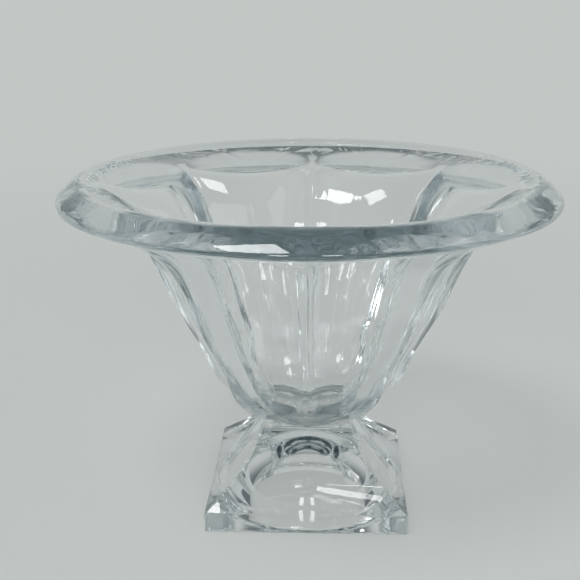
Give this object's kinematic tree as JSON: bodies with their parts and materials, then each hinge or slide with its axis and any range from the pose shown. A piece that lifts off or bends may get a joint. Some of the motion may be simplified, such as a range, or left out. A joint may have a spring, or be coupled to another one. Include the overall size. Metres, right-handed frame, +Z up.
{
  "type": "votive candle holder",
  "caption": "Clear pressed glass pedestal bowl for a votive candle: faceted body, rolled lip, square scooped foot with a domed hollow underneath.",
  "frame": {"origin": "on the table under the middle of the foot", "axes": "+Z up along the axis of the bowl, -Y out of the front face of the foot, +X to the viewer's right"},
  "size_m": [0.14, 0.14, 0.0974],
  "materials": {
    "bowl_glass": "clear pressed glass, polished, faint grey green tint",
    "wafer_glass": "clear, fused between foot and bowl",
    "foot_glass": "clear pressed glass, polished, faint grey green tint"
  },
  "bodies": {
    "root": {"bowl": "bowl_glass", "joining_wafer": "wafer_glass", "foot": "foot_glass"}
  },
  "joints": []
}
